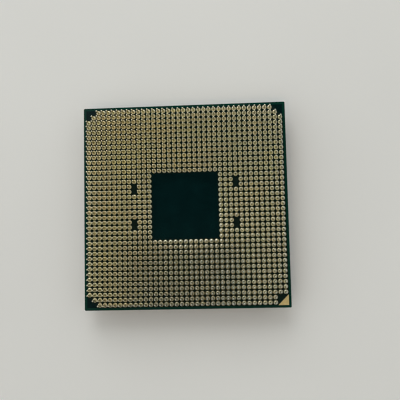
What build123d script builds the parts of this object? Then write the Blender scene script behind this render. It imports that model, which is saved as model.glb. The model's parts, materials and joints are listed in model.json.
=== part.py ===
from build123d import *
import math
import os

# A desktop processor in a pin grid array package, lying lid down with its pins up.
# Millimetres. +Z points up, from the lid's outer face to the pin tips. The origin is the
# centre of the lid's outer face. The corner mark of the first pin is at +X, -Y.

# Package
PACKAGE_SIDE = 40.0
LAYER_CORNER = 0.25

# Pin grid: rows are lettered from the marked edge (-Y), pins run along X
PITCH = 1.0
GRID = 39
MIDDLE = (GRID - 1) // 2
BARE_REACH = 6
ROW_LETTERS = [
    first + second
    for first in ("", "A")
    for second in "ABCDEFGHJKLMNPRTUVWY"
][:GRID]

# Key gaps, as steps from the grid's centre: column, then the two rows it spans
KEY_GAPS = [(-10, (3, 4)), (-10, (-4, -3)), (10, (4, 5)), (10, (-4, -3))]

# Pins left out at each corner, as steps in from it along X and Y. One more is missing at the
# marked corner, beside the mark.
SMALL_CORNER = [(0, 0), (1, 0), (0, 1)]
MARKED_CORNER = SMALL_CORNER + [(1, 1)]

# Lid
LID_SIDE = 37.5
LID_CORNER = 1.6
PLATEAU_SIDE = 35.3
PLATEAU_CORNER = 1.2
PLATEAU_HEIGHT = 0.9
LID_EDGE_BREAK = 0.22
LID_HEIGHT = 3.13
CAVITY_SIDE = 31.0
CAVITY_CORNER = 2.0
CAVITY_DEPTH = 1.0

# Sealant bead under the lid's foot
SEALANT_THICKNESS = 0.10
SEALANT_OUTER = 36.9
SEALANT_INNER = 32.3
SEALANT_CORNER = 1.6
VENT_GAP = 3.0

# Substrate layers, from the lid side up
MASK_THICKNESS = 0.025
BUILDUP_THICKNESS = 0.16
CORE_THICKNESS = 0.80
PLANE_THICKNESS = 0.035
PLANE_PULLBACK = 0.5
PLANE_CLEARANCE_RADIUS = 0.30

# Plated vias through the core
VIA_PITCH = 3.0
VIA_COUNT = 12
VIA_RADIUS = 0.125

# Pins, solder and lands
LAND_RADIUS = 0.42
LAND_THICKNESS = 0.018
MASK_OPENING_RADIUS = 0.435
SOLDER_UNDER_HEAD = 0.02
SOLDER_FOOT_RADIUS = 0.41
SOLDER_CLIMB = 0.035
HEAD_RADIUS = 0.35
HEAD_RIM_HEIGHT = 0.045
HEAD_THICKNESS = 0.16
SHANK_RADIUS = 0.1525
TIP_BREAK = 0.08
PIN_HEIGHT = 1.95

# Corner marks
MARK_LEG = 2.0
MARK_INSET = 0.5
LID_SIDE_MARK_LEG = 0.85
LID_SIDE_MARK_INSET = 0.3
MARK_THICKNESS = 0.02
MARK_CLEARANCE = 0.05

# Dies: size along X and Y, then centre
IO_DIE = (9.3, 13.1, -4.6, 0.0)
COMPUTE_DIE = (7.2, 10.3, 6.6, 0.0)
DIE_THICKNESS = 0.775
BUMP_HEIGHT = 0.07
BUMP_RADIUS = 0.10
BUMP_PITCH = 0.8
BUMP_EDGE = 0.6
UNDERFILL_MARGIN = 0.9
UNDERFILL_CLIMB = 0.5
UNDERFILL_LIP = 0.1

# Decoupling capacitors
CAP_LENGTH = 1.0
CAP_WIDTH = 0.5
CAP_HEIGHT = 0.5
TERMINAL_LENGTH = 0.22
TERMINAL_WRAP = 0.02
CAP_STANDOFF = 0.02
CAP_SPACING = 1.8
CAP_ROW_PLACES = (-11.0, -9.2, 9.2, 11.0)
CAPS_PER_ROW = 13
CAP_COLUMN_PLACES = (-13.3, 13.3)
CAPS_PER_COLUMN = 9
ROW_TURN = 90
COLUMN_TURN = 0
PAD_CLEARANCE = 0.06

# Heights of the stack
LID_MASK_Z = LID_HEIGHT + SEALANT_THICKNESS
LID_BUILDUP_Z = LID_MASK_Z + MASK_THICKNESS
CORE_Z = LID_BUILDUP_Z + BUILDUP_THICKNESS
PIN_BUILDUP_Z = CORE_Z + CORE_THICKNESS
PIN_MASK_Z = PIN_BUILDUP_Z + BUILDUP_THICKNESS
PACKAGE_Z = PIN_MASK_Z + MASK_THICKNESS
LAND_TOP_Z = PIN_MASK_Z + LAND_THICKNESS
HEAD_Z = LAND_TOP_Z + SOLDER_UNDER_HEAD
HEAD_TOP_Z = HEAD_Z + HEAD_THICKNESS
TIP_Z = PACKAGE_Z + PIN_HEIGHT
CAVITY_ROOF_Z = LID_HEIGHT - CAVITY_DEPTH
DIE_FACE_Z = LID_BUILDUP_Z - BUMP_HEIGHT
DIE_BACK_Z = DIE_FACE_Z - DIE_THICKNESS


def corner_gaps():
    """Grid steps (column, row) that the four corners leave out."""
    corners = [(-1, 1, SMALL_CORNER), (1, 1, SMALL_CORNER), (-1, -1, SMALL_CORNER)]
    corners.append((1, -1, MARKED_CORNER))
    return {
        (side_x * (MIDDLE - step_x), side_y * (MIDDLE - step_y))
        for side_x, side_y, steps in corners
        for step_x, step_y in steps
    }


def key_gaps():
    """Grid steps (column, row) that the socket keys leave out."""
    return {(column, row) for column, rows in KEY_GAPS for row in rows}


def pin_rows():
    """For each row, from the marked edge, the places of its pins."""
    missing = corner_gaps() | key_gaps()
    steps = range(-MIDDLE, MIDDLE + 1)
    rows = []
    for row in steps:
        columns = [
            column
            for column in steps
            if (column, row) not in missing and max(abs(column), abs(row)) > BARE_REACH
        ]
        rows.append([(column * PITCH, row * PITCH) for column in columns])
    return rows


def plate(width, depth, low, high, x=0.0, y=0.0):
    """A box by its plan size, its centre in plan, and its lowest and highest Z."""
    return Pos(x, y, (low + high) / 2) * Box(width, depth, high - low)


def rounded_plate(side, radius, low, high):
    """A square plate with rounded corners between two heights."""
    return Pos(0, 0, low) * extrude(RectangleRounded(side, side, radius), high - low)


def turned(profile):
    """A solid turned about Z from points given as (radius, height)."""
    outline = Polyline([(radius, 0, height) for radius, height in profile], close=True)
    return revolve(Face(Wire(outline.edges())), Axis.Z)


def copies(shape, places):
    """The same solid repeated at each place in plan."""
    return Compound([Pos(x, y, 0) * solid for x, y in places for solid in shape.solids()])


def pierced_plate(low, high, holes):
    """A full-size substrate layer with openings, given as wires at Z = 0."""
    outline = RectangleRounded(PACKAGE_SIDE, PACKAGE_SIDE, LAYER_CORNER).face().outer_wire()
    return Pos(0, 0, low) * extrude(Face(outline, holes), high - low)


def corner_triangle(leg, inset, grow=0.0):
    """Outline of a corner mark at +X, -Y, with its right angle towards the corner.

    Each of its three sides is moved out by grow, which lengthens a leg by (2 + root 2) times that.
    """
    corner = PACKAGE_SIDE / 2 - inset + grow
    reach = leg + (2 + math.sqrt(2)) * grow
    return Wire.make_polygon(
        [(corner, -corner, 0), (corner, -corner + reach, 0), (corner - reach, -corner, 0)], close=True
    )


def capacitor_places():
    """Plan centre and turn of each capacitor: rows beside the dies, and a column at each end."""
    row_start = -CAP_SPACING * (CAPS_PER_ROW - 1) / 2
    column_start = -CAP_SPACING * (CAPS_PER_COLUMN - 1) / 2
    rows = [
        (row_start + CAP_SPACING * n, y, ROW_TURN)
        for y in CAP_ROW_PLACES
        for n in range(CAPS_PER_ROW)
    ]
    columns = [
        (x, column_start + CAP_SPACING * n, COLUMN_TURN)
        for x in CAP_COLUMN_PLACES
        for n in range(CAPS_PER_COLUMN)
    ]
    return rows + columns


def heat_spreader():
    """Nickel-plated copper lid: a flat plateau on a foot, hollow over the dies."""
    plateau = rounded_plate(PLATEAU_SIDE, PLATEAU_CORNER, 0, LID_HEIGHT)
    plateau = chamfer(plateau.faces().sort_by(Axis.Z)[0].edges(), LID_EDGE_BREAK)
    foot = rounded_plate(LID_SIDE, LID_CORNER, PLATEAU_HEIGHT, LID_HEIGHT)
    foot = chamfer(foot.faces().sort_by(Axis.Z)[0].edges(), LID_EDGE_BREAK)
    cavity = rounded_plate(CAVITY_SIDE, CAVITY_CORNER, CAVITY_ROOF_Z, LID_HEIGHT)
    return plateau + foot - cavity


def lid_sealant():
    """Two runs of sealant between the lid's foot and the substrate, with a vent gap at each end."""
    low = LID_HEIGHT
    bead = rounded_plate(SEALANT_OUTER, SEALANT_CORNER, low, LID_MASK_Z)
    bead -= rounded_plate(SEALANT_INNER, SEALANT_CORNER, low, LID_MASK_Z)
    return bead - plate(PACKAGE_SIDE, VENT_GAP, low, LID_MASK_Z)


def solder_mask_lid_side():
    """Solder mask with windows for the dies, the capacitors and the corner mark."""
    windows = [
        Pos(x, y) * Rectangle(width + 2 * UNDERFILL_MARGIN, depth + 2 * UNDERFILL_MARGIN)
        for width, depth, x, y in (IO_DIE, COMPUTE_DIE)
    ]
    pad = Rectangle(TERMINAL_LENGTH + PAD_CLEARANCE, CAP_WIDTH + PAD_CLEARANCE)
    reach = (CAP_LENGTH - TERMINAL_LENGTH) / 2
    for x, y, turn in capacitor_places():
        windows += [Pos(x, y) * Rot(0, 0, turn) * Pos(side * reach, 0) * pad for side in (-1, 1)]
    holes = [window.face().outer_wire() for window in windows]
    holes.append(corner_triangle(LID_SIDE_MARK_LEG, LID_SIDE_MARK_INSET, MARK_CLEARANCE))
    return pierced_plate(LID_MASK_Z, LID_BUILDUP_Z, holes)


def solder_mask_pin_side(places):
    """Solder mask with a round opening over each land and one for the corner mark."""
    holes = [Wire.make_circle(MASK_OPENING_RADIUS, Plane((x, y, 0))) for x, y in places]
    holes.append(corner_triangle(MARK_LEG, MARK_INSET, MARK_CLEARANCE))
    return pierced_plate(PIN_MASK_Z, PACKAGE_Z, holes)


def via_places(odd):
    """Plan places of the vias of one net: the two nets alternate like a chessboard."""
    start = -VIA_PITCH * (VIA_COUNT - 1) / 2
    return [
        (start + VIA_PITCH * column, start + VIA_PITCH * row)
        for column in range(VIA_COUNT)
        for row in range(VIA_COUNT)
        if (column + row) % 2 == odd
    ]


def rods(radius, low, high, places):
    """Round rods at each place between two heights."""
    rod = Pos(0, 0, (low + high) / 2) * Cylinder(radius, high - low)
    return copies(rod, places)


def pierced_core():
    """Glass-cloth core with the holes of all its vias."""
    holes = [
        Wire.make_circle(VIA_RADIUS, Plane((x, y, 0))) for odd in (0, 1) for x, y in via_places(odd)
    ]
    return pierced_plate(CORE_Z, PIN_BUILDUP_Z, holes)


def copper_plane(low, high, passing):
    """Copper sheet with a clearance hole round each via of the other net."""
    side = PACKAGE_SIDE - 2 * PLANE_PULLBACK
    outline = RectangleRounded(side, side, LAYER_CORNER).face().outer_wire()
    holes = [Wire.make_circle(PLANE_CLEARANCE_RADIUS, Plane((x, y, 0))) for x, y in passing]
    return Pos(0, 0, low) * extrude(Face(outline, holes), high - low)


def build_up(low, high, copper, vias):
    """Resin build-up layer that takes a copper plane and the ends of the vias that pass it."""
    return pierced_plate(low, high, []) - copper - vias.solids()


def die(size, low, high):
    """A plain block the size of a die between two heights."""
    width, depth, x, y = size
    return plate(width, depth, low, high, x, y)


def bump_places(size):
    """Plan places of a die's bumps on a square grid inside its edge."""
    width, depth, x, y = size
    across = int((width - 2 * BUMP_EDGE) / BUMP_PITCH) + 1
    along = int((depth - 2 * BUMP_EDGE) / BUMP_PITCH) + 1
    start_x = x - BUMP_PITCH * (across - 1) / 2
    start_y = y - BUMP_PITCH * (along - 1) / 2
    return [
        (start_x + BUMP_PITCH * column, start_y + BUMP_PITCH * row)
        for column in range(across)
        for row in range(along)
    ]


def die_bumps():
    """Solder bumps under both dies."""
    return rods(BUMP_RADIUS, DIE_FACE_Z, LID_BUILDUP_Z, bump_places(IO_DIE) + bump_places(COMPUTE_DIE))


def underfill_of(size, bumps):
    """Resin under one die, climbing part of the way up its sides."""
    width, depth, x, y = size
    spread = 2 * UNDERFILL_MARGIN
    foot = Pos(x, y, LID_BUILDUP_Z) * Rectangle(width + spread, depth + spread)
    neck = Pos(x, y, DIE_FACE_Z - UNDERFILL_CLIMB) * Rectangle(width + UNDERFILL_LIP, depth + UNDERFILL_LIP)
    return loft([neck.face(), foot.face()]) - die(size, DIE_BACK_Z, DIE_FACE_Z) - bumps


def die_underfill():
    """Underfill of both dies, with the bumps' places left free."""
    fills = []
    for size in (IO_DIE, COMPUTE_DIE):
        bumps = rods(BUMP_RADIUS, DIE_FACE_Z, LID_BUILDUP_Z, bump_places(size))
        fills += underfill_of(size, bumps.solids()).solids()
    return Compound(fills)


def die_solder():
    """Solder between the dies' backs and the roof of the lid's cavity."""
    return Compound([die(size, CAVITY_ROOF_Z, DIE_BACK_Z).solid() for size in (IO_DIE, COMPUTE_DIE)])


def placed_capacitors(shape):
    """One capacitor's solids repeated at every capacitor's place."""
    return Compound([
        Pos(x, y, 0) * Rot(0, 0, turn) * solid
        for x, y, turn in capacitor_places()
        for solid in shape.solids()
    ])


def capacitor_bodies():
    """Ceramic bodies between the terminals."""
    top = LID_MASK_Z - CAP_STANDOFF
    return placed_capacitors(plate(CAP_LENGTH - 2 * TERMINAL_LENGTH, CAP_WIDTH, top - CAP_HEIGHT, top))


def capacitor_terminals():
    """Plated ends, a little proud of the body, standing on their pads through the mask."""
    reach = (CAP_LENGTH - TERMINAL_LENGTH) / 2
    low = LID_MASK_Z - CAP_STANDOFF - CAP_HEIGHT - TERMINAL_WRAP
    ends = [
        plate(TERMINAL_LENGTH, CAP_WIDTH + 2 * TERMINAL_WRAP, low, LID_BUILDUP_Z, side * reach).solid()
        for side in (-1, 1)
    ]
    return placed_capacitors(Compound(ends))


def corner_mark(leg, inset, low, high):
    """Gold triangle at the first pin's corner."""
    return Pos(0, 0, low) * extrude(Face(corner_triangle(leg, inset)), high - low)


def pin():
    """One nail-headed pin: a head that slopes up to a straight shank, and a broken tip edge."""
    return turned([
        (0, HEAD_Z),
        (HEAD_RADIUS, HEAD_Z),
        (HEAD_RADIUS, HEAD_Z + HEAD_RIM_HEIGHT),
        (SHANK_RADIUS, HEAD_TOP_Z),
        (SHANK_RADIUS, TIP_Z - TIP_BREAK),
        (SHANK_RADIUS - TIP_BREAK, TIP_Z),
        (0, TIP_Z),
    ])


def solder_joint():
    """Solder between a head and its land, with a fillet that climbs the head's side."""
    return turned([
        (0, LAND_TOP_Z),
        (SOLDER_FOOT_RADIUS, LAND_TOP_Z),
        (HEAD_RADIUS, HEAD_Z + SOLDER_CLIMB),
        (HEAD_RADIUS, HEAD_Z),
        (0, HEAD_Z),
    ])


def nodes():
    """Every named piece of the processor."""
    rows = pin_rows()
    places = [place for row in rows for place in row]
    made = {
        f"pin_row_{letters.lower()}": copies(pin(), row) for letters, row in zip(ROW_LETTERS, rows)
    }
    made["pin_lands"] = rods(LAND_RADIUS, PIN_MASK_Z, LAND_TOP_Z, places)
    made["pin_solder"] = copies(solder_joint(), places)
    made["solder_mask_pin_side"] = solder_mask_pin_side(places)
    made["corner_mark_pin_side"] = corner_mark(
        MARK_LEG, MARK_INSET, PIN_MASK_Z, PIN_MASK_Z + MARK_THICKNESS
    )

    ground_top = PIN_BUILDUP_Z + PLANE_THICKNESS
    power_bottom = CORE_Z - PLANE_THICKNESS
    power_vias = rods(VIA_RADIUS, CORE_Z, ground_top, via_places(0))
    ground_vias = rods(VIA_RADIUS, power_bottom, PIN_BUILDUP_Z, via_places(1))
    made["ground_plane"] = copper_plane(PIN_BUILDUP_Z, ground_top, via_places(0))
    made["power_plane"] = copper_plane(power_bottom, CORE_Z, via_places(1))
    made["core_vias"] = Compound(power_vias.solids() + ground_vias.solids())
    made["build_up_pin_side"] = build_up(PIN_BUILDUP_Z, PIN_MASK_Z, made["ground_plane"], power_vias)
    made["substrate_core"] = pierced_core()
    made["build_up_lid_side"] = build_up(LID_BUILDUP_Z, CORE_Z, made["power_plane"], ground_vias)
    made["solder_mask_lid_side"] = solder_mask_lid_side()
    made["corner_mark_lid_side"] = corner_mark(
        LID_SIDE_MARK_LEG, LID_SIDE_MARK_INSET, LID_BUILDUP_Z - MARK_THICKNESS, LID_BUILDUP_Z
    )

    made["compute_die"] = die(COMPUTE_DIE, DIE_BACK_Z, DIE_FACE_Z)
    made["io_die"] = die(IO_DIE, DIE_BACK_Z, DIE_FACE_Z)
    made["die_bumps"] = die_bumps()
    made["die_underfill"] = die_underfill()
    made["die_solder"] = die_solder()
    made["capacitor_bodies"] = capacitor_bodies()
    made["capacitor_terminals"] = capacitor_terminals()
    made["lid_sealant"] = lid_sealant()
    made["heat_spreader"] = heat_spreader()
    return made


os.makedirs("parts", exist_ok=True)
for name, shape in nodes().items():
    export_step(shape, f"parts/{name}.step")
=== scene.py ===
import json
import math

import bpy
import numpy as np
from mathutils import Euler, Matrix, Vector


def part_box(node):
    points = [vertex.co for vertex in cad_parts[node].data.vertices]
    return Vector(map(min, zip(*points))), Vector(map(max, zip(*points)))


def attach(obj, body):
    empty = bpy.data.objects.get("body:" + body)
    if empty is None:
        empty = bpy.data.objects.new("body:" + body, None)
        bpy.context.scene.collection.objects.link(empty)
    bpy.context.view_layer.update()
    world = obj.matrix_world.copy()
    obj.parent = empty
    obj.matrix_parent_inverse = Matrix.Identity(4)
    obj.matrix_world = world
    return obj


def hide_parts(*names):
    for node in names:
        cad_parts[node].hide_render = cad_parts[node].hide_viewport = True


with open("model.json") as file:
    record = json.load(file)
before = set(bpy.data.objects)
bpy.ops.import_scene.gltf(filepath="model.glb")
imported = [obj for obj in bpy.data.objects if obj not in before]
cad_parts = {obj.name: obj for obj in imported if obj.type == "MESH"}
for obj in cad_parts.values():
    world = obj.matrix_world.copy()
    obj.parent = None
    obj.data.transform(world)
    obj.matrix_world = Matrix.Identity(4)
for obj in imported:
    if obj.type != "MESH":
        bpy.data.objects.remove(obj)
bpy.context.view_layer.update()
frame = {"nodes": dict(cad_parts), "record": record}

# A pin grid array processor lying lid down, pins up. Metres, in the CAD frame: +Z is up, the origin
# is the middle of the lid's outer face, and the corner mark is at +X, -Y.

MM = 0.001
BODY = "root"
rng = np.random.default_rng(1331)

# Places that the frame gives
FIRST_ROW_LOW, FIRST_ROW_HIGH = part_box("pin_row_a")
HEAD_BOTTOM = FIRST_ROW_LOW[2]
TIP_TOP = FIRST_ROW_HIGH[2]
PIN_LENGTH = TIP_TOP - HEAD_BOTTOM
HEAD_RADIUS = (FIRST_ROW_HIGH[1] - FIRST_ROW_LOW[1]) / 2
SOLDER_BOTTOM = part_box("pin_solder")[0][2]
COPPER_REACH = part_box("ground_plane")[1][0]
LID_LOW, LID_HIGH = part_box("heat_spreader")
SEALANT_LOW, SEALANT_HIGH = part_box("lid_sealant")
PIN_ROWS = sorted(name for name in frame["nodes"] if name.startswith("pin_row_"))

# Sizes that the boxes don't show
PITCH = 1.0 * MM
PIN_FIELD_REACH = 39 / 2 * PITCH
BARE_REACH = 13 / 2 * PITCH
SHANK_RADIUS = 0.1525 * MM
PLATEAU_HALF = 17.65 * MM
PLATEAU_CORNER = 1.2 * MM
PLATEAU_HEIGHT = 0.9 * MM
FOOT_CORNER = 1.6 * MM
CAVITY_HALF = 15.5 * MM
CAVITY_CORNER = 2.0 * MM
CAVITY_DEPTH = 1.0 * MM
SEALANT_INNER_HALF = 16.15 * MM
SEALANT_CORNER = 1.6 * MM
VENT_HALF = 1.5 * MM


# Mesh helpers ---------------------------------------------------------------------------------

def stacked_rings(rings):
    """Faces that join equal rings of points in order, with the first and the last closed."""
    size = len(rings[0])
    faces = []
    for level in range(len(rings) - 1):
        low, high = level * size, (level + 1) * size
        for n in range(size):
            after = (n + 1) % size
            faces.append((low + n, low + after, high + after, high + n))
    last = (len(rings) - 1) * size
    faces.append(tuple(reversed(range(size))))
    faces.append(tuple(range(last, last + size)))
    return np.concatenate(rings), faces


def turned(profile, segments):
    """A closed mesh turned about Z from (radius, height) points, lowest first."""
    angles = np.linspace(0, 2 * math.pi, segments, endpoint=False)
    circle = np.column_stack([np.cos(angles), np.sin(angles)])
    return stacked_rings([
        np.column_stack([circle * radius, np.full(segments, height)]) for radius, height in profile
    ])


def repeated(shapes, faces):
    """One list of points and one of faces from many shapes with the same faces."""
    size = len(shapes[0])
    all_faces = [tuple(n + size * copy for n in face) for copy in range(len(shapes)) for face in faces]
    return np.concatenate(shapes), all_faces


def piece(name, points, faces, slot, material, *nodes):
    """A smooth mesh that rides on the processor's one body and stands for these CAD nodes."""
    mesh = bpy.data.meshes.new(name)
    mesh.from_pydata(points.tolist(), [], faces)
    mesh.shade_smooth()
    mesh.materials.append(material)
    made = bpy.data.objects.new(name, mesh)
    bpy.context.scene.collection.objects.link(made)
    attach(made, BODY)
    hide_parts(*nodes)
    return made


def sharpen(made, degrees):
    """Breaks the shading where two faces meet at more than this angle."""
    made.data.set_sharp_from_angle(angle=math.radians(degrees))


# Material helpers -----------------------------------------------------------------------------

class Shader:
    """A node material on one Principled shader, with every pattern placed by object coordinates."""

    def __init__(self, name):
        self.material = bpy.data.materials.new(name)
        self.material.use_nodes = True
        self.nodes = self.material.node_tree.nodes
        self.links = self.material.node_tree.links
        self.surface = self.nodes["Principled BSDF"]
        self.place = self.nodes.new("ShaderNodeTexCoord").outputs["Object"]

    def add(self, kind, sockets=None, **settings):
        """A node with its properties set, and its inputs set or linked by name or number."""
        node = self.nodes.new(kind)
        for key, value in settings.items():
            setattr(node, key, value)
        for key, value in (sockets or {}).items():
            self.put(node.inputs[key], value)
        return node

    def put(self, socket, value):
        """Links an output to a socket, or sets the socket's value."""
        if isinstance(value, bpy.types.NodeSocket):
            self.links.new(value, socket)
        else:
            socket.default_value = value

    def math(self, operation, *values):
        """The result of a Math node."""
        return self.add("ShaderNodeMath", dict(enumerate(values)), operation=operation).outputs[0]

    def noise(self, size, detail, stretch=(1, 1, 1)):
        """Noise from 0 to 1 whose blotches are about this many millimetres across."""
        scaled = self.add("ShaderNodeMapping", {"Vector": self.place, "Scale": stretch}).outputs[0]
        sockets = {"Vector": scaled, "Scale": 1 / (size * MM), "Detail": detail}
        return self.add("ShaderNodeTexNoise", sockets).outputs["Fac"]

    def ramp(self, factor, *stops):
        """Colours at places from 0 to 1, each stop (place, colour)."""
        node = self.add("ShaderNodeValToRGB", {"Fac": factor})
        elements = node.color_ramp.elements
        while len(elements) < len(stops):
            elements.new(0.5)
        for element, (place, colour) in zip(elements, stops):
            element.position = place
            element.color = (*colour, 1)
        return node.outputs["Color"]

    def span(self, factor, low, high):
        """A factor from 0 to 1 stretched to run from low to high."""
        return self.add("ShaderNodeMapRange", {"Value": factor, "To Min": low, "To Max": high}).outputs[0]

    def between(self, value, start, end, low=0.0, high=1.0):
        """low below start, high above end, and a smooth change between them."""
        sockets = {"Value": value, "From Min": start, "From Max": end, "To Min": low, "To Max": high}
        return self.add("ShaderNodeMapRange", sockets, interpolation_type="SMOOTHSTEP").outputs[0]

    def mix(self, factor, first, second, blend="MIX"):
        """Two colours mixed."""
        node = self.add("ShaderNodeMix", data_type="RGBA", blend_type=blend)
        for socket, value in zip((node.inputs[0], node.inputs[6], node.inputs[7]), (factor, first, second)):
            self.put(socket, (*value, 1) if isinstance(value, tuple) else value)
        return node.outputs[2]

    def bump(self, height, millimetres, strength=1.0):
        """Bumps the surface by a height from 0 to 1."""
        sockets = {"Height": height, "Distance": millimetres * MM, "Strength": strength}
        before = self.surface.inputs["Normal"]
        if before.is_linked:
            sockets["Normal"] = before.links[0].from_socket
        self.put(before, self.add("ShaderNodeBump", sockets).outputs[0])

    def set(self, **values):
        """Sets the shader's own sockets, named with _ for a space."""
        for key, value in values.items():
            value = (*value, 1) if isinstance(value, tuple) else value
            self.put(self.surface.inputs[key.replace("_", " ")], value)

    def axes(self):
        """The object coordinates apart: X, Y and Z."""
        return self.add("ShaderNodeSeparateXYZ", {"Vector": self.place}).outputs

    def per_pin(self):
        """A random number from 0 to 1 for each cell of the pin grid."""
        cells = [self.math("ROUND", self.math("DIVIDE", axis, PITCH)) for axis in self.axes()[:2]]
        cell = self.add("ShaderNodeCombineXYZ", {"X": cells[0], "Y": cells[1]}).outputs[0]
        white = self.add("ShaderNodeTexWhiteNoise", {"Vector": cell}, noise_dimensions="3D")
        return white.outputs["Value"]

    def drift(self):
        """A slow change over the pin field, with a smaller one from pin to pin."""
        return self.math("MULTIPLY_ADD", self.per_pin(), PIN_TO_PIN, self.noise(DRIFT_SIZE, 2))


# Materials ------------------------------------------------------------------------------------

# How the plating changes from pin to pin and over the pin field: blotch size in millimetres, the
# stretches of X and Y over which it changes, and what multiplies its colour there. Over X this is
# mostly painted reflection, cooler towards +X, and below the bare middle it is mostly painted shade,
# darker towards -Y; both are partly the plating's own tint and tarnish
PIN_TO_PIN = 0.25
DRIFT_SIZE = 6.0
REFLECTION_AND_TINT_X = (-14 * MM, 14 * MM)
REFLECTION_AND_TINT = (0.96, 1.0, 1.10)
SHADE_AND_TARNISH_Y = (-11 * MM, -2 * MM)
SHADE_AND_TARNISH_LEFT_X = (-16 * MM, -6 * MM)
SHADE_AND_TARNISH_RIGHT_X = (8 * MM, 13 * MM)
SHADE_AND_TARNISH = (0.74, 0.76, 0.83)

# Heights between which the pin's colour changes at its neck, and below its tip, where a paler colour is a
# painted highlight
NECK_Z = (HEAD_BOTTOM + 0.12 * MM, HEAD_BOTTOM + 0.4 * MM)
PAINTED_HIGHLIGHT_TIP_Z = (TIP_TOP - 0.5 * MM, TIP_TOP - 0.15 * MM)

# Half the width of a boundary in the solder mask's colour, and the sum of X and Y at its bare corners
PIN_FIELD_BLUR = 0.2 * MM
COPPER_BLUR = 0.1 * MM
BARE_CORNER_SUM = (36.4 * MM, 37.2 * MM)

CORE_PLY = 0.1 * MM


def painted_reflection_shade_and_tarnish(s, colour):
    """A metal finish with painted reflection, a little greyer towards +X, and painted shade from the bare
    middle to the -Y edge, both partly the plating's own tint and tarnish.
    """
    x, y = s.axes()[:2]
    reflection_and_tint_colour = s.mix(s.between(x, *REFLECTION_AND_TINT_X), colour, REFLECTION_AND_TINT, "MULTIPLY")
    below_middle = s.between(y, *SHADE_AND_TARNISH_Y, 1.0, 0.0)
    from_left = s.between(x, *SHADE_AND_TARNISH_LEFT_X, 0.2, 1.0)
    from_right = s.between(x, *SHADE_AND_TARNISH_RIGHT_X, 1.0, 0.35)
    shade_and_tarnish_share = s.math("MULTIPLY", below_middle, s.math("MULTIPLY", from_left, from_right))
    return s.mix(shade_and_tarnish_share, reflection_and_tint_colour, SHADE_AND_TARNISH, "MULTIPLY")


def gold_pin():
    """Thin gold over nickel: a tint of its own on each pin, worn in patches, yellower along the shank."""
    s = Shader("gold_pin")
    tint = s.ramp(
        s.drift(),
        (0.35, (0.73, 0.69, 0.44)),
        (0.55, (0.67, 0.66, 0.49)),
        (0.75, (0.73, 0.66, 0.49)),
        (0.95, (0.77, 0.70, 0.44)),
    )
    worn = s.mix(s.span(s.noise(0.35, 3), 0.0, 0.3), tint, (0.52, 0.47, 0.32))
    height = s.axes()[2]
    yellowed = s.mix(s.between(height, *NECK_Z, 0.0, 0.8), worn, (0.82, 0.72, 0.36))
    # The top of each pin is paler: a painted highlight of its domed tip.
    shade = s.mix(s.between(height, *PAINTED_HIGHLIGHT_TIP_Z), yellowed, (0.76, 0.75, 0.60))
    # The colour carries painted reflection towards +X and painted shade towards -Y, partly real tint and
    # tarnish.
    s.set(Base_Color=painted_reflection_shade_and_tarnish(s, shade), Metallic=1.0)
    s.set(Roughness=s.span(s.noise(0.12, 4), 0.15, 0.23))
    s.bump(s.noise(0.05, 4), 0.001)
    return s.material


def pin_solder():
    """Tin solder wetted over the gold land: satin, warm grey, freckled."""
    s = Shader("pin_solder")
    tint = s.ramp(
        s.drift(),
        (0.4, (0.71, 0.68, 0.48)),
        (0.6, (0.65, 0.65, 0.52)),
        (0.85, (0.72, 0.67, 0.49)),
    )
    stained = s.mix(s.span(s.noise(0.22, 4), 0.0, 0.35), tint, (0.46, 0.40, 0.26))
    # The colour carries painted reflection towards +X and painted shade towards -Y, partly real tint and
    # tarnish.
    s.set(Base_Color=painted_reflection_shade_and_tarnish(s, stained), Metallic=1.0)
    s.set(Roughness=s.span(s.noise(0.09, 4), 0.34, 0.44))
    s.bump(s.noise(0.07, 4), 0.0015)
    return s.material


def gold_land():
    """Flat immersion gold, with faint polishing and a slight stain."""
    s = Shader("gold_land")
    shade = s.ramp(s.noise(0.6, 4), (0.3, (0.75, 0.63, 0.31)), (0.7, (0.84, 0.71, 0.38)))
    s.set(Base_Color=shade, Metallic=1.0)
    s.set(Roughness=s.span(s.noise(0.25, 4, stretch=(1, 6, 1)), 0.48, 0.66))
    s.bump(s.noise(0.04, 3), 0.003)
    return s.material


def solder_mask():
    """Dark glossy blue-green lacquer over woven glass: greener past the copper, lighter and warmer among
    the pins.
    """
    s = Shader("solder_mask")
    lacquer = s.ramp(s.noise(3.0, 4), (0.3, (0.0006, 0.0110, 0.0122)), (0.7, (0.0012, 0.0155, 0.0168)))
    # Among the pins the mask is lighter and warmer.
    pin_field_colour = s.ramp(s.noise(0.8, 4), (0.3, (0.0060, 0.0170, 0.0150)), (0.7, (0.0100, 0.0220, 0.0190)))
    across, along = [s.math("ABSOLUTE", axis) for axis in s.axes()[:2]]
    reach = s.math("MAXIMUM", across, along)
    past_middle = s.between(reach, BARE_REACH - PIN_FIELD_BLUR, BARE_REACH + PIN_FIELD_BLUR)
    inside_rim = s.between(reach, PIN_FIELD_REACH - PIN_FIELD_BLUR, PIN_FIELD_REACH + PIN_FIELD_BLUR, 1.0, 0.0)
    inside_corner = s.between(s.math("ADD", across, along), *BARE_CORNER_SUM, 1.0, 0.0)
    in_field = s.math("MULTIPLY", past_middle, s.math("MULTIPLY", inside_rim, inside_corner))
    over_resin = s.between(reach, COPPER_REACH - COPPER_BLUR, COPPER_REACH + COPPER_BLUR)
    bare = s.mix(over_resin, lacquer, (0.0030, 0.0360, 0.0260))
    s.set(Base_Color=s.mix(in_field, bare, pin_field_colour), Specular_IOR_Level=0.4)
    s.set(Roughness=s.span(s.noise(0.5, 4), 0.08, 0.15))
    weave = s.add("ShaderNodeTexWave", {"Vector": s.place, "Scale": 0.9 / MM, "Distortion": 0.6})
    s.bump(weave.outputs["Fac"], 0.0008, 0.5)
    s.bump(s.noise(0.3, 3), 0.001)
    return s.material


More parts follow.
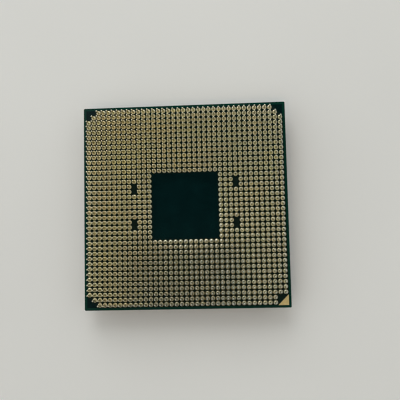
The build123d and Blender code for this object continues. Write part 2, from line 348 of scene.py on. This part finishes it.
def build_up_resin():
    """Filled epoxy film between the copper and the mask, cut at the package's edge."""
    s = Shader("build_up_resin")
    shade = s.ramp(s.noise(0.25, 5), (0.3, (0.012, 0.030, 0.028)), (0.7, (0.026, 0.050, 0.044)))
    s.set(Base_Color=shade)
    s.set(Roughness=s.span(s.noise(0.1, 4), 0.45, 0.7))
    s.bump(s.noise(0.06, 4), 0.006)
    return s.material


def core_laminate():
    """Glass cloth in dark resin: fine layers at the cut edge, with pale fibre ends."""
    s = Shader("core_laminate")
    layers = s.math("SINE", s.math("MULTIPLY", s.axes()[2], 2 * math.pi / CORE_PLY))
    ripple = s.noise(0.3, 4, stretch=(1, 1, 3))
    fibre = s.math("MULTIPLY_ADD", layers, 0.25, ripple)
    shade = s.ramp(
        fibre,
        (0.25, (0.010, 0.030, 0.027)),
        (0.55, (0.030, 0.058, 0.048)),
        (0.95, (0.13, 0.15, 0.10)),
    )
    s.set(Base_Color=shade)
    s.set(Roughness=s.span(ripple, 0.5, 0.8))
    s.bump(fibre, 0.012)
    return s.material


def nickel_plate():
    """Satin nickel over copper: cloudy, with a rolled grain and fine scratches."""
    s = Shader("nickel_plate")
    grain = s.noise(0.15, 4, stretch=(1, 14, 1))
    cloud = s.noise(7.0, 3)
    shade = s.mix(s.span(cloud, 0.0, 0.6), (0.60, 0.585, 0.555), (0.50, 0.485, 0.46))
    scratch = s.between(s.noise(0.10, 2, stretch=(1, 0.03, 1)), 0.66, 0.74)
    s.set(Base_Color=s.mix(scratch, shade, (0.72, 0.70, 0.67)), Metallic=1.0)
    rough = s.math("MULTIPLY_ADD", cloud, 0.14, s.span(grain, 0.20, 0.36))
    s.set(Roughness=rough)
    s.bump(grain, 0.004)
    s.bump(s.noise(0.05, 3), 0.003)
    return s.material


def sealant():
    """Dark grey silicone squeezed out under the lid's foot."""
    s = Shader("sealant")
    shade = s.ramp(s.noise(0.5, 4), (0.3, (0.018, 0.018, 0.019)), (0.7, (0.035, 0.035, 0.036)))
    s.set(Base_Color=shade)
    s.set(Roughness=s.span(s.noise(0.3, 3), 0.4, 0.62))
    s.bump(s.noise(0.2, 4), 0.02)
    return s.material


def speckled(name, low, high, roughness, size, bump, metallic=0.0):
    """A finish with two shades in blotches, an uneven roughness and a fine bump."""
    s = Shader(name)
    s.set(Base_Color=s.ramp(s.noise(size, 4), (0.3, low), (0.7, high)), Metallic=metallic)
    s.set(Roughness=s.span(s.noise(size / 2, 4), *roughness))
    s.bump(s.noise(size / 4, 3), bump)
    return s.material


def table_top():
    """Plain pale matt floor with the faintest unevenness."""
    s = Shader("table_top")
    s.set(Base_Color=s.ramp(s.noise(60, 3), (0.3, (0.87, 0.90, 0.915)), (0.7, (0.90, 0.93, 0.945))))
    s.set(Roughness=s.span(s.noise(4, 3), 0.55, 0.7))
    s.bump(s.noise(0.8, 3), 0.01)
    return s.material


def silicon():
    """Polished dark grey silicon."""
    return speckled("silicon", (0.11, 0.11, 0.12), (0.16, 0.16, 0.17), (0.12, 0.24), 3.0, 0.001, 1.0)


def copper():
    """Etched copper foil and plating."""
    return speckled("copper", (0.60, 0.26, 0.14), (0.72, 0.36, 0.22), (0.25, 0.42), 0.8, 0.003, 1.0)


def bump_solder():
    """Grey tin solder of the bumps under the dies."""
    return speckled("bump_solder", (0.50, 0.50, 0.49), (0.62, 0.61, 0.59), (0.3, 0.5), 0.1, 0.004, 1.0)


def thermal_solder():
    """Pale soft solder between the dies and the lid."""
    return speckled("thermal_solder", (0.55, 0.55, 0.56), (0.66, 0.66, 0.67), (0.3, 0.5), 0.6, 0.01, 1.0)


def underfill():
    """Black filled epoxy round the dies."""
    return speckled("underfill", (0.012, 0.012, 0.013), (0.03, 0.03, 0.032), (0.3, 0.5), 0.5, 0.01)


def capacitor_ceramic():
    """Brown ceramic of the capacitor bodies."""
    return speckled("capacitor_ceramic", (0.20, 0.13, 0.08), (0.27, 0.18, 0.11), (0.4, 0.6), 0.2, 0.004)


def capacitor_terminal():
    """Tinned ends of the capacitors."""
    low, high = (0.58, 0.57, 0.54), (0.70, 0.69, 0.66)
    return speckled("capacitor_terminal", low, high, (0.3, 0.5), 0.15, 0.005, 1.0)


MATERIALS = {
    make.__name__: make()
    for make in (
        gold_pin, pin_solder, gold_land, solder_mask, build_up_resin, core_laminate, nickel_plate, sealant,
        copper, silicon, bump_solder, underfill, thermal_solder, capacitor_ceramic, capacitor_terminal,
    )
}


def dress_cad_nodes():
    """Gives every CAD node the procedural finish of its own material slot."""
    for part in frame["record"]["subparts"]:
        for material_slot in frame["nodes"][part["node"]].material_slots:
            material_slot.material = MATERIALS[part["material_slot"]]


# Pins and solder ------------------------------------------------------------------------------

# A pin's lean, in radians: its usual size about X and about Y, and its limit
PIN_LEAN = 0.002
PIN_LEAN_LIMIT = 0.014
LEAN_PIVOT = HEAD_BOTTOM + 0.15 * MM
PIN_SEGMENTS = 20

# Radius and height of the pin's outline above its head's foot, in millimetres
HEAD_RIM = HEAD_RADIUS / MM
TIP = PIN_LENGTH / MM
SHANK = SHANK_RADIUS / MM
HEAD_OUTLINE = [
    (HEAD_RIM - 0.035, 0), (HEAD_RIM - 0.005, 0.01), (HEAD_RIM, 0.025), (HEAD_RIM - 0.01, 0.041),
    (HEAD_RIM - 0.04, 0.058), (HEAD_RIM - 0.08, 0.077), (HEAD_RIM - 0.12, 0.098),
]
NECK_OUTLINE = [
    (SHANK + 0.054, 0.116), (SHANK + 0.030, 0.140), (SHANK + 0.012, 0.18), (SHANK + 0.004, 0.23),
    (SHANK, 0.28),
]
TIP_OUTLINE = [
    (SHANK, TIP - 0.12), (SHANK - 0.008, TIP - 0.08), (SHANK - 0.026, TIP - 0.045),
    (SHANK - 0.056, TIP - 0.018), (SHANK - 0.096, TIP - 0.004), (SHANK - 0.12, TIP),
]
PIN_OUTLINE = HEAD_OUTLINE + NECK_OUTLINE + TIP_OUTLINE


def pin_places(row):
    """Plan places of a row's pins, read from the tips of its CAD node."""
    mesh = frame["nodes"][row].data
    points = np.empty(len(mesh.vertices) * 3)
    mesh.vertices.foreach_get("co", points)
    points = points.reshape(-1, 3)
    tips = points[points[:, 2] > HEAD_BOTTOM + PIN_LENGTH / 2]
    return np.unique(np.round(tips[:, :2] / PITCH), axis=0) * PITCH


def leaned(points, lean_x, lean_y, turn):
    """Points turned about Z, then leaned by two small angles about a point in the pin's head."""
    matrix = np.array(Euler((lean_x, lean_y, 0)).to_matrix() @ Euler((0, 0, turn)).to_matrix())
    pivot = np.array([0, 0, LEAN_PIVOT])
    return (points - pivot) @ matrix.T + pivot


def make_pins(row, places):
    """One row of nail-headed pins, each leaning a little its own way."""
    outline = [(radius * MM, HEAD_BOTTOM + height * MM) for radius, height in PIN_OUTLINE]
    points, faces = turned(outline, PIN_SEGMENTS)
    pins = []
    for x, y in places:
        lean = np.clip(rng.normal(0, PIN_LEAN, 2), -PIN_LEAN_LIMIT, PIN_LEAN_LIMIT)
        pins.append(leaned(points, *lean, rng.uniform(0, 2 * math.pi)) + (x, y, 0))
    name = row.replace("pin_row", "pins_row")
    piece(name, *repeated(pins, faces), "gold_pin", MATERIALS["gold_pin"], row)


SOLDER_SEGMENTS = 20
SOLDER_RINGS = 5
SOLDER_FOOT = 0.41 * MM
SOLDER_CLIMB = 0.055 * MM
SOLDER_WAVER = 0.006 * MM
SOLDER_HOLLOW = 1.5
SOLDER_UNDER_RIM = 0.006 * MM
ROWS_PER_SOLDER_PIECE = 10


def solder_joint():
    """A concave fillet from the land up to the side of a pin's head, on a ring of angles."""
    angles = np.linspace(0, 2 * math.pi, SOLDER_SEGMENTS, endpoint=False)
    phases = rng.uniform(0, 2 * math.pi, 2)
    waver = SOLDER_WAVER * (np.sin(angles + phases[0]) + 0.6 * np.sin(3 * angles + phases[1])) / 2
    foot = SOLDER_FOOT - SOLDER_WAVER + waver
    climb = SOLDER_CLIMB + waver
    neck = HEAD_RADIUS - SOLDER_UNDER_RIM
    rings = []
    for level in np.linspace(0, 1, SOLDER_RINGS):
        radius = neck + (foot - neck) * (1 - level) ** SOLDER_HOLLOW
        height = SOLDER_BOTTOM + climb * level
        rings.append(np.column_stack([radius * np.cos(angles), radius * np.sin(angles), height]))
    return stacked_rings(rings)


def make_solder(name, places):
    """The solder joints of several rows."""
    joints = []
    for x, y in places:
        points, faces = solder_joint()
        joints.append(points + (x, y, 0))
    piece(name, *repeated(joints, faces), "pin_solder", MATERIALS["pin_solder"], "pin_solder")


def make_pin_field():
    """Every row of pins, and its solder in a few pieces."""
    rows = sorted((pin_places(row)[0][1], row) for row in PIN_ROWS)
    for start in range(0, len(rows), ROWS_PER_SOLDER_PIECE):
        group = [row for _, row in rows[start:start + ROWS_PER_SOLDER_PIECE]]
        places = [pin_places(row) for row in group]
        for row, row_places in zip(group, places):
            make_pins(row, row_places)
        ends = [name.removeprefix("pin_row_") for name in (group[0], group[-1])]
        make_solder(f"solder_rows_{ends[0]}_to_{ends[1]}", np.concatenate(places))


# Lid and sealant ------------------------------------------------------------------------------

CORNER_STEPS = 10
SIDE_STEPS = 12
EDGE_STEPS = 5
FACE_RINGS = (0.3, 0.9, 0.985)
LID_EDGE_RADIUS = 0.2 * MM
LID_STEP_RADIUS = 0.12 * MM
LID_LIP = 0.03 * MM
LID_SHARP_ANGLE = 40
SEALANT_BULGE = 0.04 * MM
SEALANT_WAVER = 0.05 * MM
SEALANT_SHARP_ANGLE = 60


def rounded_square(half, corner, height):
    """A ring of points round a square with round corners, at one height."""
    angles = np.linspace(0, math.pi / 2, CORNER_STEPS + 1)
    reach = half - corner
    arc = np.column_stack([reach + corner * np.cos(angles), reach + corner * np.sin(angles)])
    side_share = np.linspace(0, 1, SIDE_STEPS + 1)[1:-1, None]
    next_start = np.array([-arc[0][1], arc[0][0]])
    side = arc[-1] + (next_start - arc[-1]) * side_share
    quarter = np.concatenate([arc, side])
    turns = [quarter]
    for _ in range(3):
        quarter = np.column_stack([-quarter[:, 1], quarter[:, 0]])
        turns.append(quarter)
    ring = np.concatenate(turns)
    return np.column_stack([ring, np.full(len(ring), height)])


def rounded_edge(half, corner, height):
    """Rings round the lid's soft outer edge, from the face at this height into the wall above it."""
    rings = []
    for angle in np.linspace(0, math.pi / 2, EDGE_STEPS):
        inset = LID_EDGE_RADIUS * (1 - math.sin(angle))
        rise = LID_EDGE_RADIUS * (1 - math.cos(angle))
        rings.append(rounded_square(half - inset, corner - inset, height + rise))
    return rings


def make_lid():
    """Stamped lid: plateau, step and foot with soft edges outside, and a hollow over the dies."""
    low, high = LID_LOW[2], LID_HIGH[2]
    foot_half = LID_HIGH[0]
    step_top = low + PLATEAU_HEIGHT
    step_start = LID_STEP_RADIUS
    step_middle = 0.3 * LID_STEP_RADIUS
    cavity_top = high - CAVITY_DEPTH
    rings = [rounded_square(PLATEAU_HALF * share, PLATEAU_CORNER * share, low) for share in FACE_RINGS]
    rings += rounded_edge(PLATEAU_HALF, PLATEAU_CORNER, low)
    rings.append(rounded_square(PLATEAU_HALF, PLATEAU_CORNER, step_top - step_start))
    rings.append(rounded_square(PLATEAU_HALF + step_middle, PLATEAU_CORNER, step_top - step_middle))
    rings.append(rounded_square(PLATEAU_HALF + step_start, PLATEAU_CORNER, step_top))
    rings += rounded_edge(foot_half, FOOT_CORNER, step_top)
    rings.append(rounded_square(foot_half, FOOT_CORNER, high - LID_EDGE_RADIUS))
    rings.append(rounded_square(foot_half - LID_LIP, FOOT_CORNER, high))
    rings.append(rounded_square(CAVITY_HALF, CAVITY_CORNER, high))
    rings.append(rounded_square(CAVITY_HALF, CAVITY_CORNER, cavity_top))
    rings.append(rounded_square(CAVITY_HALF / 2, CAVITY_CORNER / 2, cavity_top))
    lid = piece("lid", *stacked_rings(rings), "nickel_plate", MATERIALS["nickel_plate"], "heat_spreader")
    sharpen(lid, LID_SHARP_ANGLE)


def sealant_path(half, corner):
    """Half a ring of points from one vent gap round to the other, on the +Y side."""
    ring = rounded_square(half, corner, 0)[:, :2]
    upper = ring[ring[:, 1] > VENT_HALF]
    ordered = upper[np.argsort(np.arctan2(upper[:, 1], upper[:, 0]))]
    return np.concatenate([[[half, VENT_HALF]], ordered, [[-half, VENT_HALF]]])


def make_sealant():
    """Two runs of sealant with a bulged, slightly wavy squeeze-out at the outer edge."""
    low, high = SEALANT_LOW[2], SEALANT_HIGH[2]
    outer_half = SEALANT_HIGH[0]
    middle = (low + high) / 2
    for side, name in ((1, "sealant_bead_back"), (-1, "sealant_bead_front")):
        outer = sealant_path(outer_half, SEALANT_CORNER)
        inner = sealant_path(SEALANT_INNER_HALF, SEALANT_CORNER)
        waver = SEALANT_WAVER * rng.uniform(-1, 1, len(outer))
        rings = []
        for outer_point, inner_point, shift in zip(outer, inner, waver):
            outward = (outer_point - inner_point) / np.linalg.norm(outer_point - inner_point)
            bulge = outer_point + outward * (SEALANT_BULGE + shift)
            section = [
                (*inner_point, low),
                (*outer_point, low),
                (*bulge, middle),
                (*outer_point, high),
                (*inner_point, high),
            ]
            rings.append(np.array(section) * (1, side, 1))
        points, faces = stacked_rings(rings)
        if side > 0:
            faces = [tuple(reversed(face)) for face in faces]
        bead = piece(name, points, faces, "sealant", MATERIALS["sealant"], "lid_sealant")
        sharpen(bead, SEALANT_SHARP_ANGLE)


# Floor, light and camera ----------------------------------------------------------------------

TABLE_REACH = 1.5
CAMERA_PLACE = Vector((9.211, -8.249, 113.289)) * MM
CAMERA_TURN = (0.08361, 0.05946, -0.02248)
CAMERA_LENS = 50.4
CAMERA_SENSOR = 36
CAMERA_NEAR = 0.005

# Colours of the room and of the hand near the lens, and the lamp's place, power, size and colour
ROOM_COLOUR = (0.985, 1.0, 0.955, 1)
HAND_COLOUR = (3.0, 2.0, 1.2, 1)
KEY_PLACE = (-0.10, 0.56, 0.42)
KEY_POWER = 1.5
KEY_SIZE = 0.45
KEY_COLOUR = (1.0, 0.99, 0.95)


def make_floor():
    """A plain pale table under the lid."""
    reach = TABLE_REACH
    points = [(-reach, -reach, 0), (reach, -reach, 0), (reach, reach, 0), (-reach, reach, 0)]
    mesh = bpy.data.meshes.new("floor")
    mesh.from_pydata(points, [], [(0, 1, 2, 3)])
    mesh.materials.append(table_top())
    floor = bpy.data.objects.new("floor", mesh)
    bpy.context.scene.collection.objects.link(floor)


def make_camera():
    """A close view from almost straight above, a little to the right and nearer the marked edge."""
    data = bpy.data.cameras.new("camera")
    data.lens = CAMERA_LENS
    data.sensor_width = CAMERA_SENSOR
    data.clip_start = CAMERA_NEAR
    camera = bpy.data.objects.new("camera", data)
    camera.location = CAMERA_PLACE
    camera.rotation_euler = CAMERA_TURN
    bpy.context.scene.collection.objects.link(camera)
    bpy.context.scene.camera = camera


def make_world():
    """A room brightest to the upper left, with the dark of what holds the camera overhead."""
    world = bpy.data.worlds.new("room")
    world.use_nodes = True
    nodes, links = world.node_tree.nodes, world.node_tree.links
    background = nodes["Background"]
    place = nodes.new("ShaderNodeTexCoord").outputs["Generated"]

    def towards(direction, start, end, low, high):
        """low away from a direction and high round it: start and end are cosines of the angle from it."""
        dot = nodes.new("ShaderNodeVectorMath")
        dot.operation = "DOT_PRODUCT"
        links.new(place, dot.inputs[0])
        dot.inputs[1].default_value = Vector(direction).normalized()
        change = nodes.new("ShaderNodeMapRange")
        change.interpolation_type = "SMOOTHSTEP"
        links.new(dot.outputs["Value"], change.inputs["Value"])
        for socket, value in zip(("From Min", "From Max", "To Min", "To Max"), (start, end, low, high)):
            change.inputs[socket].default_value = value
        return change.outputs[0]

    def times(first, second):
        """The product of two numbers."""
        node = nodes.new("ShaderNodeMath")
        node.operation = "MULTIPLY"
        links.new(first, node.inputs[0])
        links.new(second, node.inputs[1])
        return node.outputs[0]

    def cone(direction, outer, inner, outside, inside):
        """outside beyond the outer angle from a direction and inside within the inner one, in degrees."""
        start, end = [math.cos(math.radians(angle)) for angle in (outer, inner)]
        return towards(direction, start, end, outside, inside)

    # The room's light, dimmed by a duller ceiling, by what holds the camera and by a person at -Y
    room = towards((-0.4, 0.9, 0.3), -0.9, 0.9, 0.33, 0.92)
    ceiling = cone((0.0, 0.45, 1.0), 48, 26, 1.0, 0.45)
    overhead = cone((0.0, 0.0, 1.0), 23, 17, 1.0, 0.04)
    person = cone((0.2, -1.0, 0.1), 42, 22, 1.0, 0.2)
    hand = cone((-0.08, -0.3, 1.0), 22, 14, 0.0, 1.0)
    strength = times(times(room, ceiling), times(overhead, person))
    links.new(strength, background.inputs["Strength"])
    tint = nodes.new("ShaderNodeMix")
    tint.data_type = "RGBA"
    links.new(hand, tint.inputs[0])
    tint.inputs[6].default_value = ROOM_COLOUR
    tint.inputs[7].default_value = HAND_COLOUR
    links.new(tint.outputs[2], background.inputs["Color"])
    bpy.context.scene.world = world


def make_lamp(name, place, power, size, colour):
    """A soft area lamp aimed at the middle of the package."""
    data = bpy.data.lights.new(name, "AREA")
    data.energy = power
    data.size = size
    data.color = colour
    lamp = bpy.data.objects.new(name, data)
    lamp.location = place
    lamp.rotation_euler = (-Vector(place)).to_track_quat("-Z", "Y").to_euler()
    bpy.context.scene.collection.objects.link(lamp)


make_camera()
make_world()
make_lamp("key", KEY_PLACE, KEY_POWER, KEY_SIZE, KEY_COLOUR)
make_floor()
dress_cad_nodes()
make_pin_field()
make_lid()
make_sealant()
bpy.context.scene.view_settings.view_transform = "Standard"
bpy.context.scene.cycles.filter_width = 1.2
